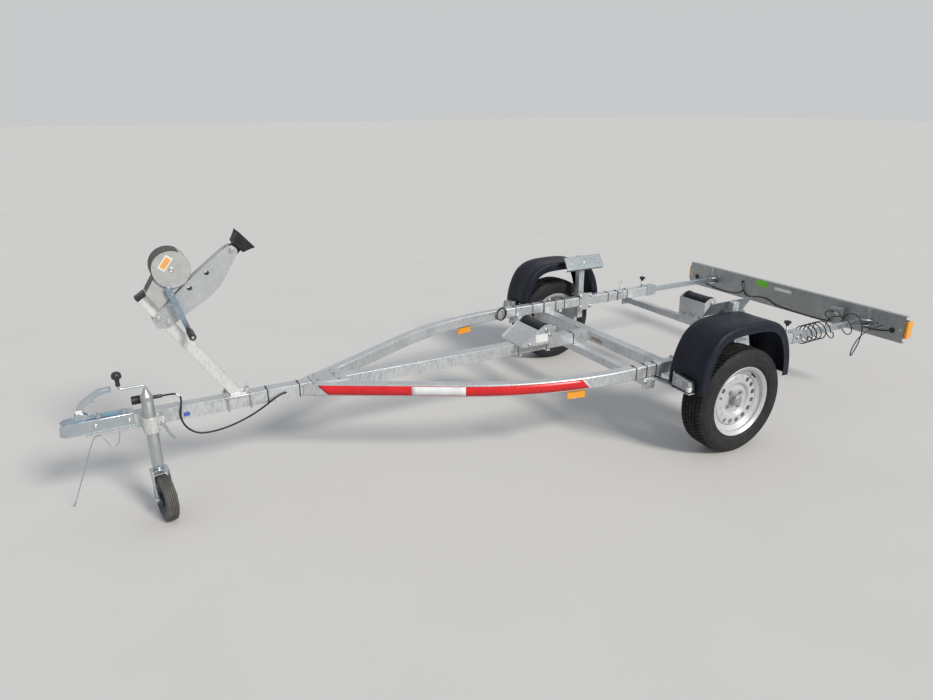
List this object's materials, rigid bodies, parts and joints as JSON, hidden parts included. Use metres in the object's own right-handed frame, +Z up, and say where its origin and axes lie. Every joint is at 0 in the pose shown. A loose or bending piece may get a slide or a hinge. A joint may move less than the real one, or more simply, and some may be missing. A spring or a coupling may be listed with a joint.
{
  "type": "boat trailer",
  "caption": "Single-axle galvanised boat trailer with curved side rails, keel rollers, bunks, winch stand, jockey wheel and slide-out light board.",
  "frame": {"origin": "middle of the trailer's footprint on the floor, its free cords left out", "axes": "+X forward to the coupling, +Y to the left, +Z up"},
  "size_m": [4.333, 1.754, 1.1764],
  "materials": {
    "galvanised": "hot-dip galvanised, dull with a faint spangle",
    "zinc": "bright zinc plating",
    "rim_silver": "silver paint",
    "tyre_rubber": "matt black",
    "black_plastic": "moulded black",
    "black_rubber": "matt black",
    "winch_cover": "pale grey paint",
    "lamp_red": "red lens",
    "lamp_clear": "clear lens",
    "amber": "amber lens",
    "steel_rope": "twisted wire"
  },
  "bodies": {
    "frame": {"drawbar": "galvanised", "rail_left": "galvanised", "rail_right": "galvanised", "junction_plate_top": "galvanised", "junction_plate_bottom": "galvanised", "crossbar_front": "galvanised", "crossbar_rear": "galvanised", "axle_beam": "galvanised", "arm_left": "galvanised", "arm_right": "galvanised", "fender_stay_left": "galvanised", "fender_stay_right": "galvanised", "winch_post": "galvanised", "bow_bracket": "galvanised", "roller_bracket_front": "galvanised", "roller_bracket_rear": "galvanised", "bunk_post_left": "galvanised", "bunk_post_right": "galvanised", "bunk_pad_left": "galvanised", "bunk_pad_right": "galvanised", "coupling_head": "zinc", "coupling_lever": "zinc", "jockey_clamp": "zinc", "fender_left": "black_plastic", "fender_right": "black_plastic", "rail_knob_left": "black_plastic", "rail_knob_right": "black_plastic", "plug_front": "black_plastic", "lead_front": "black_plastic", "bow_rubber": "black_rubber", "winch_frame": "winch_cover", "front_lamp_left": "lamp_clear", "front_lamp_right": "lamp_clear", "side_reflector_left": "amber", "side_reflector_right": "amber", "safety_cable": "steel_rope"},
    "wheel_left": {"rim_left": "rim_silver", "tyre_left": "tyre_rubber"},
    "wheel_right": {"rim_right": "rim_silver", "tyre_right": "tyre_rubber"},
    "jockey_mast": {"jockey_tube": "zinc", "jockey_crank": "zinc"},
    "jockey_leg": {"jockey_leg": "zinc"},
    "jockey_fork": {"jockey_fork": "zinc"},
    "jockey_wheel": {"jockey_wheel": "black_rubber"},
    "winch_drum": {"winch_drum": "zinc"},
    "winch_crank": {"winch_crank": "zinc"},
    "keel_roller_front": {"keel_roller_front": "black_rubber"},
    "keel_roller_rear": {"keel_roller_rear": "black_rubber"},
    "light_board": {"light_board": "galvanised", "light_arm_left": "zinc", "light_arm_right": "zinc", "rear_lamp_left": "lamp_red", "rear_lamp_right": "lamp_red", "wiring_coil": "black_plastic", "wiring_rear": "black_plastic"}
  },
  "joints": [
    {"name": "wheel_left_spin", "type": "hinge", "parent": "frame", "child": "wheel_left", "pos_m": [-0.7725, 0.7915, 0.2735], "axis": [0, 1, 0], "continuous": true},
    {"name": "wheel_right_spin", "type": "hinge", "parent": "frame", "child": "wheel_right", "pos_m": [-0.7725, -0.7915, 0.2735], "axis": [0, 1, 0], "continuous": true},
    {"name": "jockey_clamp_slide", "type": "slide", "parent": "frame", "child": "jockey_mast", "axis": [0, 0, 1], "range_m": [0, 0.13]},
    {"name": "jockey_screw_slide", "type": "slide", "parent": "jockey_mast", "child": "jockey_leg", "axis": [0, 0, -1], "range_m": [0, 0.13]},
    {"name": "jockey_swivel", "type": "hinge", "parent": "jockey_leg", "child": "jockey_fork", "pos_m": [1.8255, 0.085, 0.22], "axis": [0, 0, 1], "continuous": true},
    {"name": "jockey_wheel_spin", "type": "hinge", "parent": "jockey_fork", "child": "jockey_wheel", "pos_m": [1.81596, 0.13408, 0.1], "axis": [0.9816, 0.1908, 0], "continuous": true},
    {"name": "winch_crank_turn", "type": "hinge", "parent": "frame", "child": "winch_crank", "pos_m": [1.6825, 0, 0.975], "axis": [0, 1, 0], "continuous": true},
    {"name": "winch_drum_turn", "type": "hinge", "parent": "frame", "child": "winch_drum", "pos_m": [1.6605, 0, 1.051], "axis": [0, 1, 0], "continuous": true},
    {"name": "keel_roller_front_spin", "type": "hinge", "parent": "frame", "child": "keel_roller_front", "pos_m": [-0.1225, 0, 0.53], "axis": [0, 1, 0], "continuous": true},
    {"name": "keel_roller_rear_spin", "type": "hinge", "parent": "frame", "child": "keel_roller_rear", "pos_m": [-1.3325, 0, 0.515], "axis": [0, 1, 0], "continuous": true},
    {"name": "light_board_slide", "type": "slide", "parent": "frame", "child": "light_board", "axis": [-1, 0, 0], "range_m": [-0.05, 0.25]}
  ],
  "couplings": [
    {"joint": "winch_drum_turn", "follows": "winch_crank_turn", "ratio": -0.25}
  ]
}
